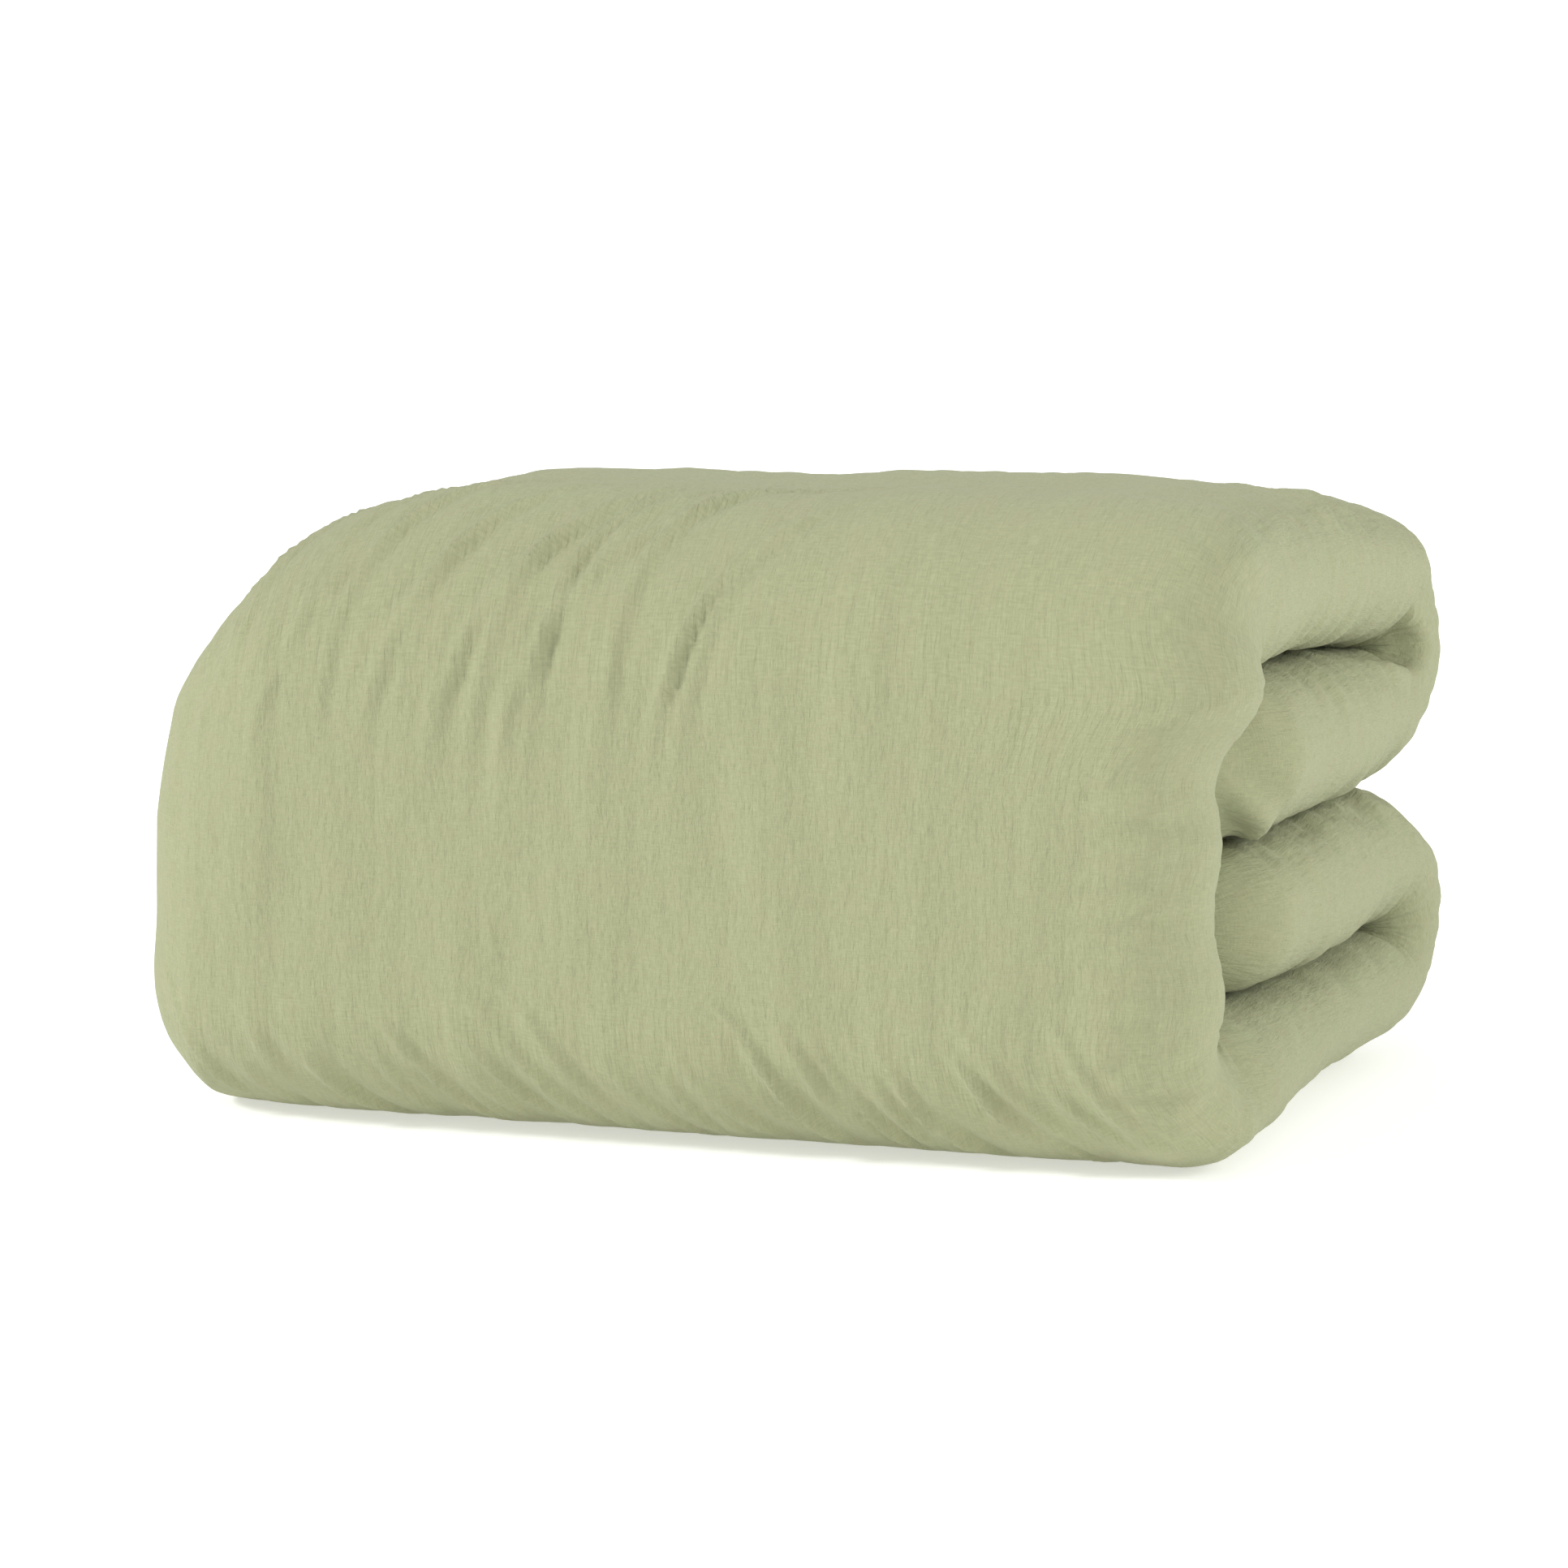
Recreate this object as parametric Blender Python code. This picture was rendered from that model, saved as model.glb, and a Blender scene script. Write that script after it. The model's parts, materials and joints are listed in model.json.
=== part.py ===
"""A single duvet in its cover, folded into a four-layer bundle.

The duvet is doubled across its width, so the closed fold is the right end (+X) and the two
side hems lie together at the left end (-X). The doubled length is then gate folded: each end
turns back on itself at the rear (+Y), and the whole closes like a book round the front (-Y).
+Z is up, the origin is the middle of the footprint, and lengths are in metres.

Along the folded length the layers follow one path:
head hem, second layer, upper rear turn, top layer, upper front bend, front panel,
lower front bend, bottom layer, lower rear turn, third layer, foot closure.
"""
import math

import bpy

# ---- driving dimensions ----------------------------------------------------------------
FOLDED_WIDTH = 0.675        # half of the duvet's 1.35 m width, along X
LAYER = 0.0925              # loft of one doubled layer before the pile settles
PANEL_RUN = 0.330           # straight run of each layer, from the front bends to the rear turns
LAYER_GAP = 0.003           # air between neighbouring layers
COVER_CLOTH = 0.0015        # cover fabric, with its nap
SHELL_CLOTH = 0.0010        # the insert's own cloth
PLY_SLIT = 0.0006           # air between the two plies of a doubled layer
CLEARANCE = 0.0003          # between neighbouring pieces
HEM_WIDTH = 0.010           # side hems, beyond the cover cloth
SEAM_WIDTH = 0.012          # the seam across the head end
BAND_WIDTH = 0.030          # button band across the foot end
BAND_CLOTH = 0.0028         # one folded band, three cloths thick
BUTTON_DIAMETER = 0.018
BUTTON_THICKNESS = 0.0025
BUTTONS_PER_PLY = 3
BUTTON_FIRST = 0.100        # first button from the cloth's left edge
BUTTON_SPACING = 0.190
LABEL_WIDTH = 0.045
LABEL_LENGTH = 0.030
LABEL_CLOTH = 0.0005
LABEL_FROM_LEFT = 0.150
TIE_WIDTH = 0.010
TIE_THICKNESS = 0.003
TIE_FROM_LEFT = 0.026

# ---- how the pile settles --------------------------------------------------------------
PRESS = 0.18                # how much more the lower layers are pressed than the upper ones
DROOP_LENGTH = 0.235        # the upper half rounds down towards the left over this length
DROOP_KEPT = 0.30           # share of the upper half's height left at the left end
DROOP_CUT = 0.120           # an extra section within that length, where the slope changes
UNDER_ROUND = 0.060         # the lower half rounds up from the floor over this length
UNDER_KEPT = 0.45
REAR_DROOP = 0.20           # share of the upper half's height lost at the rear
REAR_DROOP_START = 0.30     # share of the run where that begins
EDGE_ROUND = 0.060          # each ply thins towards its hems over this length
EDGE_KEPT = 0.30
COVER_SETBACK = 0.0         # where each part starts, from the cover cloth's edge
SHELL_SETBACK = 0.012
FILLING_SETBACK = 0.024

ARC_STEPS = 4               # facets round a half turn

# ---- derived places --------------------------------------------------------------------
HEIGHT = 4 * LAYER
DEPTH = LAYER + PANEL_RUN + LAYER
FRONT_Y = -DEPTH / 2
BEND_Y = FRONT_Y + LAYER
TURN_Y = BEND_Y + PANEL_RUN
LEFT_X = -FOLDED_WIDTH / 2 + HEM_WIDTH + CLEARANCE
OUTER_Q = (LAYER - LAYER_GAP) / 2
FOLD_X = FOLDED_WIDTH / 2 - OUTER_Q
PLY_MIDDLE = LAYER / 4
CAVITY_SETBACK = FILLING_SETBACK - CLEARANCE
BACK_Q = PLY_SLIT / 2
SHELL_IN_Q = BACK_Q + COVER_CLOTH + CLEARANCE
SHELL_OUT_Q = OUTER_Q - COVER_CLOTH - CLEARANCE
CAVITY_IN_Q = SHELL_IN_Q + SHELL_CLOTH
CAVITY_OUT_Q = SHELL_OUT_Q - SHELL_CLOTH
FILLING_IN_Q = CAVITY_IN_Q + CLEARANCE
FILLING_OUT_Q = CAVITY_OUT_Q - CLEARANCE
MID_Z = 2 * LAYER
CLOSURE_Y = BEND_Y + LAYER_GAP / 2 + 2 * CLEARANCE
HEAD_Y = CLOSURE_Y + SEAM_WIDTH + CLEARANCE
FOOT_Y = CLOSURE_Y + BAND_WIDTH + CLEARANCE
REAR_DROOP_Y = BEND_Y + REAR_DROOP_START * PANEL_RUN

SAGE = (0.48, 0.52, 0.34)


def level(z):
    """Height above the floor once the pile has settled."""
    share = (z - LAYER_GAP / 2) / (HEIGHT - LAYER_GAP)
    return HEIGHT * share * (1 - PRESS + PRESS * share)


LOWER_HINGE_Z = level(LAYER)
UPPER_HINGE_Z = level(3 * LAYER)
LOWER_HINGE_Y = FRONT_Y + LAYER_GAP / 2 + LOWER_HINGE_Z
UPPER_HINGE_Y = FRONT_Y + LAYER_GAP / 2 + HEIGHT - UPPER_HINGE_Z


def rounding(distance, length, kept):
    """A quarter-round falling from 1, at length from the edge, to kept at the edge."""
    if distance >= length:
        return 1.0
    rise = 1 - max(distance, 0.0) / length
    return kept + (1 - kept) * math.sqrt(1 - rise * rise)


def settle(x, y, z):
    """Where a point of the square-cut bundle lies once the pile has settled."""
    middle = level(MID_Z)
    height = level(z)
    from_left = x - LEFT_X
    if z >= MID_Z:
        share = rounding(from_left, DROOP_LENGTH, DROOP_KEPT)
        back = max(0.0, (y - REAR_DROOP_Y) / (TURN_Y + LAYER - REAR_DROOP_Y))
        share *= 1 - REAR_DROOP * back * back
    else:
        share = rounding(from_left, UNDER_ROUND, UNDER_KEPT)
    return x, y, middle + (height - middle) * share


class Station:
    """One cross-section of the folded length: a place, its outward side and its end distance."""

    def __init__(self, y, z, side_y, side_z, from_end=1.0):
        self.y, self.z = y, z
        self.side_y, self.side_z = side_y, side_z
        self.from_end = from_end

    def place(self, x, n):
        """The settled place of the point at x and n, n being measured outwards."""
        return settle(x, self.y + n * self.side_y, self.z + n * self.side_z)


def squeezed(q, x, from_end):
    """A distance from the layer's middle, with its ply thinned near a hem."""
    kept = min(
        rounding(x - LEFT_X, EDGE_ROUND, EDGE_KEPT),
        rounding(from_end, EDGE_ROUND, EDGE_KEPT),
    )
    return PLY_MIDDLE + (q - PLY_MIDDLE) * kept


def cloth_xs(setback):
    """The x of each straight station, from a part's left edge to the width's fold."""
    steps = [SHELL_SETBACK, FILLING_SETBACK, EDGE_ROUND, DROOP_CUT, DROOP_LENGTH]
    after = [LEFT_X + step for step in steps if step > setback + 1e-6]
    return [LEFT_X + setback] + after + [FOLD_X]


def fold_line(station, q, setback):
    """Points at distance q from the layer's middle: out along one ply, back along the other."""
    xs = cloth_xs(setback)
    near = [station.place(x, squeezed(q, x, station.from_end)) for x in xs]
    far = [station.place(x, -squeezed(q, x, station.from_end)) for x in reversed(xs)]
    radius = squeezed(q, FOLD_X, station.from_end)
    turn = []
    for step in range(1, ARC_STEPS):
        angle = math.pi * step / ARC_STEPS
        turn.append(station.place(FOLD_X + radius * math.sin(angle), radius * math.cos(angle)))
    return near + turn + far


# ---- solids from rows of points --------------------------------------------------------
def material(name, colour, roughness):
    made = bpy.data.materials.new(name)
    made.use_nodes = True
    shader = made.node_tree.nodes["Principled BSDF"]
    shader.inputs["Base Color"].default_value = (*colour, 1.0)
    shader.inputs["Roughness"].default_value = roughness
    return made


def add_object(name, points, faces, colour, roughness=0.9):
    mesh = bpy.data.meshes.new(name)
    mesh.from_pydata(points, [], faces)
    mesh.validate()
    mesh.materials.append(material(name, colour, roughness))
    made = bpy.data.objects.new(name, mesh)
    bpy.context.scene.collection.objects.link(made)
    return face_out(made)


def face_out(made):
    """Turn every face outwards: a closed body's signed volume must be positive."""
    mesh = made.data
    volume = 0.0
    mesh.calc_loop_triangles()
    for triangle in mesh.loop_triangles:
        a, b, c = (mesh.vertices[i].co for i in triangle.vertices)
        volume += a.dot(b.cross(c))
    if volume < 0:
        mesh.flip_normals()
    return made


def quad(faces, a, b, c, d):
    faces.append((a, b, c))
    faces.append((a, c, d))


def skin_between(faces, first, second, inward=False):
    """Join two rings of point numbers with triangles.

    A ring runs out along one fold line and back along the other. The back half is split the
    other way, so that nested surfaces share their diagonals and never cross.
    """
    count = len(first)
    for k in range(count):
        after = (k + 1) % count
        a, b, c, d = first[k], second[k], second[after], first[after]
        if k >= count // 2:
            a, b, c, d = b, c, d, a
        if inward:
            b, d = d, b
        quad(faces, a, b, c, d)


def cap_band(faces, ring, turned):
    """Close a band section: its first half runs out, its second half runs back."""
    half = len(ring) // 2
    for k in range(half - 1):
        a, b, c, d = ring[k], ring[k + 1], ring[-2 - k], ring[-1 - k]
        if turned:
            b, d = d, b
        quad(faces, a, b, c, d)


def band_rings(stations, setback, inner_q, outer_q):
    """Closed sections between two fold lines; the distances may change along the stations."""
    rings = []
    for station in stations:
        inner = inner_q(station) if callable(inner_q) else inner_q
        outer = outer_q(station) if callable(outer_q) else outer_q
        out = fold_line(station, outer, setback)
        back = fold_line(station, inner, setback)
        rings.append(out + list(reversed(back)))
    return rings


def numbered(rings, start=0):
    count = len(rings[0])
    return [list(range(start + i * count, start + (i + 1) * count)) for i in range(len(rings))]


def lofted(name, rings, colour, roughness=0.9):
    """A solid through a row of closed sections, capped at both ends."""
    points = [point for ring in rings for point in ring]
    numbers = numbered(rings)
    faces = []
    for first, second in zip(numbers, numbers[1:]):
        skin_between(faces, first, second)
    cap_band(faces, numbers[0], turned=False)
    cap_band(faces, numbers[-1], turned=True)
    return add_object(name, points, faces, colour, roughness)


def tube(name, outer, cavity, closed_at_end, colour):
    """A skin round a cavity, open at its cut ends and, on an end panel, closed at its hem."""
    points = [point for ring in outer + cavity for point in ring]
    outside = numbered(outer)
    inside = numbered(cavity, len(outer) * len(outer[0]))
    faces = []
    for first, second in zip(outside, outside[1:]):
        skin_between(faces, first, second)
    for first, second in zip(inside, inside[1:]):
        skin_between(faces, first, second, inward=True)
    skin_between(faces, inside[0], outside[0])
    if closed_at_end:
        cap_band(faces, outside[-1], turned=True)
        cap_band(faces, inside[-1], turned=False)
    else:
        skin_between(faces, inside[-1], outside[-1], inward=True)
    return add_object(name, points, faces, colour)


# ---- the folded length, in five stretches ----------------------------------------------
CUT = CLEARANCE / 2         # half the gap where two stretches of one cloth meet


def turn_stations(centre_y, centre_z, start, end, steps):
    """Sections round a bend, its outward side pointing away from the centre."""
    found = []
    for step in range(steps + 1):
        angle = math.radians(start + (end - start) * step / steps)
        side_y, side_z = math.cos(angle), math.sin(angle)
        centre = centre_y + LAYER / 2 * side_y
        found.append(Station(centre, centre_z + LAYER / 2 * side_z, side_y, side_z))
    return found


def straight(ys, z, side_z, end_y=None):
    ends = [1.0 if end_y is None else y - end_y for y in ys]
    return [Station(y, z, 0.0, side_z, end) for y, end in zip(ys, ends)]


RUN_YS = [REAR_DROOP_Y, (REAR_DROOP_Y + TURN_Y) / 2]


def stack_stations(start_y, layer_z, turn_z, inner_z, side, end_y, setback):
    """An outer layer, its rear turn, and the inner layer that comes back to its hem."""
    out = straight([start_y] + RUN_YS, layer_z, side)
    turn = turn_stations(TURN_Y, turn_z, 90 * side, -90 * side, ARC_STEPS)
    steps = [FILLING_SETBACK, SHELL_SETBACK]
    back_ys = list(reversed(RUN_YS)) + [end_y + EDGE_ROUND]
    back_ys += [end_y + step for step in steps if step > setback + 1e-6]
    back_ys.append(end_y + setback)
    return out + turn + straight(back_ys, inner_z, -side, end_y)


def upper_stack(setback):
    start = UPPER_HINGE_Y + CUT
    return stack_stations(start, 3.5 * LAYER, 3 * LAYER, 2.5 * LAYER, 1, HEAD_Y, setback)


def lower_stack(setback):
    start = BEND_Y + CUT
    return stack_stations(start, 0.5 * LAYER, LAYER, 1.5 * LAYER, -1, FOOT_Y, setback)


# The three stretches round the front have no hem, so the setback leaves them unchanged.
def front_panel(_setback):
    y = BEND_Y - LAYER / 2
    return [Station(y, z, -1.0, 0.0) for z in (3 * LAYER - CUT, MID_Z, LAYER + CUT)]


def upper_bend(_setback):
    bend = turn_stations(BEND_Y, 3 * LAYER, 90, 180, ARC_STEPS // 2)
    bend[-1] = Station(BEND_Y - LAYER / 2, 3 * LAYER + CUT, -1.0, 0.0)
    return straight([UPPER_HINGE_Y - CUT], 3.5 * LAYER, 1) + bend


def lower_bend(_setback):
    bend = turn_stations(BEND_Y, LAYER, 180, 270, ARC_STEPS // 2)
    bend[0] = Station(BEND_Y - LAYER / 2, LAYER - CUT, -1.0, 0.0)
    bend[-1] = Station(BEND_Y - CUT, LAYER / 2, 0.0, -1.0)
    return bend


STRETCHES = {
    "upper_half": (upper_stack, True),
    "upper_front_bend": (upper_bend, False),
    "front_panel": (front_panel, False),
    "lower_front_bend": (lower_bend, False),
    "lower_half": (lower_stack, True),
}


def build_cloths(name, stations_at, has_hem):
    """Face cloth, reverse cloth, insert shell and filling of one stretch."""
    cover = stations_at(COVER_SETBACK)
    face = band_rings(cover, COVER_SETBACK, OUTER_Q - COVER_CLOTH, OUTER_Q)
    lofted("cover_face_" + name, face, SAGE)
    reverse = band_rings(cover, COVER_SETBACK, BACK_Q, BACK_Q + COVER_CLOTH)
    lofted("cover_reverse_" + name, reverse, (0.52, 0.55, 0.38))
    outer = band_rings(stations_at(SHELL_SETBACK), SHELL_SETBACK, SHELL_IN_Q, SHELL_OUT_Q)
    cavity_stations = stations_at(CAVITY_SETBACK)
    cavity = band_rings(cavity_stations, CAVITY_SETBACK, CAVITY_IN_Q, CAVITY_OUT_Q)
    tube("insert_shell_" + name, outer, cavity, has_hem, (0.88, 0.88, 0.86))
    filling_stations = stations_at(FILLING_SETBACK)
    filling = band_rings(filling_stations, FILLING_SETBACK, FILLING_IN_Q, FILLING_OUT_Q)
    lofted("filling_" + name, filling, (0.95, 0.95, 0.93))


def build_side_hems(name, stations_at):
    """The two side hems: a narrow tapered strip beyond each ply's left edge."""
    root = (OUTER_Q - PLY_MIDDLE) * EDGE_KEPT - CLEARANCE
    tip = root / 4
    inner_x = LEFT_X - CLEARANCE
    for letter, ply in (("a", 1), ("b", -1)):
        rings = []
        for station in stations_at(COVER_SETBACK):
            corners = [(inner_x, root), (inner_x - HEM_WIDTH, tip),
                       (inner_x - HEM_WIDTH, -tip), (inner_x, -root)]
            ring = [station.place(x, ply * (PLY_MIDDLE + n)) for x, n in corners]
            rings.append(ring)
        lofted("side_hem_%s_%s" % (letter, name), rings, (0.45, 0.49, 0.31))


def build_head_seam():
    """The sewn seam that closes the head end, tapering away from the cloth."""
    root = (OUTER_Q - PLY_MIDDLE) * EDGE_KEPT - CLEARANCE
    near = HEAD_Y - CLEARANCE
    stations = straight([near, near - SEAM_WIDTH], 2.5 * LAYER, -1)

    def reach(station):
        return root if station.y > near - SEAM_WIDTH / 2 else root / 4

    def inner(station):
        return PLY_MIDDLE - reach(station)

    def outer(station):
        return PLY_MIDDLE + reach(station)

    lofted("head_seam", band_rings(stations, COVER_SETBACK, inner, outer), (0.45, 0.49, 0.31))


def foot_station(y):
    return Station(y, 1.5 * LAYER, 0.0, 1.0)


def build_foot_closure():
    """Button band, buttonhole band and buttons along the cover's open foot end."""
    near = FOOT_Y - CLEARANCE
    stations = [foot_station(near), foot_station(near - BAND_WIDTH)]
    gap = CLEARANCE / 2
    inner = band_rings(stations, COVER_SETBACK, PLY_MIDDLE - BAND_CLOTH, PLY_MIDDLE - gap)
    lofted("button_band", inner, (0.46, 0.50, 0.32))
    outer = band_rings(stations, COVER_SETBACK, PLY_MIDDLE + gap, PLY_MIDDLE + BAND_CLOTH)
    lofted("buttonhole_band", outer, (0.46, 0.50, 0.32))
    button_y = near - BAND_WIDTH / 2
    number = 0
    for ply in (1, -1):
        for index in range(BUTTONS_PER_PLY):
            number += 1
            x = LEFT_X + BUTTON_FIRST + index * BUTTON_SPACING
            seat = foot_station(button_y).place(x, ply * (PLY_MIDDLE + BAND_CLOTH))
            centre_z = seat[2] + ply * (CLEARANCE + BUTTON_THICKNESS / 2)
            add_button("button_%d" % number, (x, button_y, centre_z))


def add_button(name, centre):
    bpy.ops.mesh.primitive_cylinder_add(
        vertices=16, radius=BUTTON_DIAMETER / 2, depth=BUTTON_THICKNESS, location=centre)
    made = bpy.context.object
    made.name = name
    made.data.name = name
    made.data.materials.append(material(name, (0.55, 0.50, 0.38), 0.45))


def build_corner_ties():
    """The tie in each corner that holds the insert's loop to the cover's seam."""
    ends = (
        ("head", 2.5 * LAYER, -1, HEAD_Y),
        ("foot", 1.5 * LAYER, 1, FOOT_Y),
    )
    half = TIE_THICKNESS / 2
    left = LEFT_X + TIE_FROM_LEFT
    for end_name, layer_z, side, end_y in ends:
        ys = [end_y, end_y + SHELL_SETBACK - CLEARANCE]
        for letter, ply in (("a", 1), ("b", -1)):
            rings = []
            for y in ys:
                station = Station(y, layer_z, 0.0, side)
                corners = [(left, half), (left + TIE_WIDTH, half),
                           (left + TIE_WIDTH, -half), (left, -half)]
                ring = [station.place(x, ply * (PLY_MIDDLE + n)) for x, n in corners]
                rings.append(ring)
            lofted("corner_tie_%s_%s" % (end_name, letter), rings, (0.85, 0.85, 0.82))


def build_care_label():
    """A blank sewn-in label, lying on the third layer near the foot end."""
    left = LEFT_X + LABEL_FROM_LEFT
    near = FOOT_Y + EDGE_ROUND
    low = OUTER_Q + CLEARANCE
    rings = []
    for y in (near, near + LABEL_LENGTH):
        station = foot_station(y)
        corners = [(left, low), (left, low + LABEL_CLOTH),
                   (left + LABEL_WIDTH, low + LABEL_CLOTH), (left + LABEL_WIDTH, low)]
        rings.append([station.place(x, n) for x, n in corners])
    lofted("care_label", rings, (0.93, 0.93, 0.90))


def clear_scene():
    for old in list(bpy.data.objects):
        bpy.data.objects.remove(old, do_unlink=True)


def main():
    clear_scene()
    for name, (stations_at, has_hem) in STRETCHES.items():
        build_cloths(name, stations_at, has_hem)
        build_side_hems(name, stations_at)
    build_head_seam()
    build_foot_closure()
    build_corner_ties()
    build_care_label()


main()
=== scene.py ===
"""Looks of a single duvet in a washed-cotton cover, folded into a plump bundle.

The cover is modelled from the way it is folded. One path runs along the folded length, from the
head hem to the foot closure, and each cross-section of that path is a doubled layer: the outer
ply, the rounded fold at the right end, and the ply that comes back. A point is placed in a
square-cut bundle first, then settled by lay(), which rounds, presses and slackens the pile, and
at last it is raised or sunk by the wrinkles. Lengths are in metres.
"""
import json
import math
from types import SimpleNamespace

import bmesh
import bpy
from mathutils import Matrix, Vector
import numpy as np


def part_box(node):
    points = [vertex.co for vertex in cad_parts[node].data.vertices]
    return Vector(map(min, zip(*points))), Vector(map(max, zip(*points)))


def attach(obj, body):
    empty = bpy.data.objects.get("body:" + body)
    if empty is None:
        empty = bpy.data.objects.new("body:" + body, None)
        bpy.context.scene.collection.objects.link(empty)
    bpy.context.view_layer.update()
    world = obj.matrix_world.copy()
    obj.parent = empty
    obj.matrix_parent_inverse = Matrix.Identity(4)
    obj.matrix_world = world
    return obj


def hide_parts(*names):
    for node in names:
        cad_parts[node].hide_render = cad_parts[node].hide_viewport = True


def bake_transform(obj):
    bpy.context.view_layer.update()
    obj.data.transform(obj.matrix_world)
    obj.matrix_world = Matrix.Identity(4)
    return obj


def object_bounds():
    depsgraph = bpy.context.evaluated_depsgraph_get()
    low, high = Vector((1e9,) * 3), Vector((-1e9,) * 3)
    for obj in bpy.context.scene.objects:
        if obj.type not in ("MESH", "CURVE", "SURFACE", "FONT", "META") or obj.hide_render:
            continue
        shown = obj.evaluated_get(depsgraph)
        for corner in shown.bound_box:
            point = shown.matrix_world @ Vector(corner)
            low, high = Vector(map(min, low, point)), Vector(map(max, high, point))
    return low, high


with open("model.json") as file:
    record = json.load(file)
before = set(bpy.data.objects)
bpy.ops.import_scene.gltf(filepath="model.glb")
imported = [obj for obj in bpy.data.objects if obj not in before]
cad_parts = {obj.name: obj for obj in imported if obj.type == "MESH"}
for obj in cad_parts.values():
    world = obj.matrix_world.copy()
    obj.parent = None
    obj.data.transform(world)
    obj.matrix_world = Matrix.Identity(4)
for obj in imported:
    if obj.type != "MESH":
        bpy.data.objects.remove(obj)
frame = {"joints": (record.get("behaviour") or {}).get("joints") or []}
CAD_BOX = [[float(v) for v in corner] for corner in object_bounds()]

# ---- sizes, worked out from the frame ------------------------------------------------------
LOW, HIGH = np.array(CAD_BOX[0]), np.array(CAD_BOX[1])
HEIGHT = HIGH[2] - LOW[2]
LAYER = HEIGHT / 4
FRONT_Y = LOW[1]
BEND_Y = FRONT_Y + LAYER
TURN_Y = HIGH[1] - LAYER
HEM_WIDTH = 0.010
LEFT_X = LOW[0] + HEM_WIDTH
LAYER_GAP = 0.0012          # air between neighbouring layers
OUTER_Q = (LAYER - LAYER_GAP) / 2
FOLD_X = HIGH[0] - OUTER_Q
PLY_MIDDLE = LAYER / 4
SLIT_Q = 0.0007             # half of the slit left between the two plies
HEM_HALF = 0.0021           # half the thickness of a side hem
SEAM_WIDTH = 0.012
BAND_WIDTH = 0.030
CLOSURE_Y = BEND_Y + 0.002
HEAD_Y = CLOSURE_Y + SEAM_WIDTH
FOOT_Y = CLOSURE_Y + BAND_WIDTH
HEAD_LAYER_Z = 2.5 * LAYER  # middles of the two layers that end at the closures
FOOT_LAYER_Z = 1.5 * LAYER
HINGES = {joint["name"]: joint for joint in frame["joints"]}

# ---- how finely the cover is divided -------------------------------------------------------
FINE = 0.0038
COARSE = 0.012
SLIT_STEP = 0.0168
HAIRPIN_STEPS = 12
SLIT_CROWDING = 1.7         # slit points stand closer together where the layer droops
ROUND_STEPS = 12            # steps round the fold of a hem, seam or band
KINDS = {"out": 0, "turn": 1, "slit": 2, "hairpin": 3}

# ---- how the pile settles ------------------------------------------------------------------
MIDDLE_Z = HEIGHT / 2
PRESS = 0.18                # the weight flattens the lower layers
END_POWER = 0.6             # how quickly the ends' rounding grows away from the middle height
DROOP_LENGTH = 0.256        # the left end droops over this length, down to this share
DROOP_KEPT = 0.12
UNDER_ROUND = 0.055         # and is lifted underneath
UNDER_KEPT = 0.50
REAR_DROOP = 0.20
REAR_DROOP_Y = BEND_Y + 0.30 * (TURN_Y - BEND_Y)
TOP_SUNK = 0.050
REAR_RIGHT_DROOP = 0.055
REAR_RIGHT_RISE = 0.12
EDGE_ROUND = 0.060          # each layer thins over this length at the hems
EDGE_KEPT = 0.30
END_KEPT = 0.12
CORNER_ROUND = 0.125        # plan radius of the bundle's front left corner
WRAP_DRAWN_IN = 0.017       # how far the wrap's right edge is drawn in
WRAP_WOBBLE = 0.0030
WRAP_CHEEK = 0.006
INNER_DRAWN_IN = 0.024
ROLL_FULLNESS = 0.010
ROLL_TAPER = 0.007
ROLL_NOTCH = 0.006
FRONT_BULGE = 0.009

# ---- creases -------------------------------------------------------------------------------
# each crease draws its own values from these ranges; first and spread say where they begin
CREASE_SEED = 4
FAN = SimpleNamespace(
    count=17, first=-0.31, spread=0.36, stray=0.35, height=(0.268, 0.318),
    lean=(1.6, 2.4), depth=(0.0016, 0.0044), width=(0.0034, 0.0064), length=(0.026, 0.048),
    bend=0.035)
FOOT = SimpleNamespace(
    count=44, first=-0.31, spread=0.60, stray=0.4, height=(0.020, 0.062),
    lean=(0.45, 1.00), length=(0.010, 0.026), depth=(0.0014, 0.0046), width=(0.0032, 0.0062),
    curl=5.0)

# ---- buttons -------------------------------------------------------------------------------
BUTTON_RADIUS = 0.009
BUTTON_HEIGHT = 0.0025
BUTTON_SEAT = 0.0030        # the band's outer face, measured from the ply's middle
BUTTON_SIDES = 48
BUTTON_HOLE_OFFSET = 0.0014
BUTTON_HOLE_DEPTH = 0.0014
BUTTON_DISH = 0.0007
BUTTON_RIM = 0.0080         # the rim is rounded from here out
BUTTON_ROUNDING = 0.0010

# ---- camera --------------------------------------------------------------------------------
CAMERA_AZIMUTH = 20.3
CAMERA_ELEVATION = 7.2
CAMERA_DISTANCE = 3.06
CAMERA_LENS = 120.0
CAMERA_AIM = (0.001, 0.0, 0.175)

STRETCH_NODES = ("cover_face_", "cover_reverse_", "insert_shell_", "filling_",
                 "side_hem_a_", "side_hem_b_")


# ---- noise ---------------------------------------------------------------------------------
def lattice(ix, iy, seed):
    """A repeatable random angle for each whole-number place."""
    mixed = ix.astype(np.int64) * 374761393 + iy.astype(np.int64) * 668265263 + seed * 974634777
    mixed = (mixed ^ (mixed >> 13)) * 1274126177
    mixed = mixed ^ (mixed >> 16)
    return (mixed & 0xFFFF) / 65536.0 * 2 * math.pi


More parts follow.
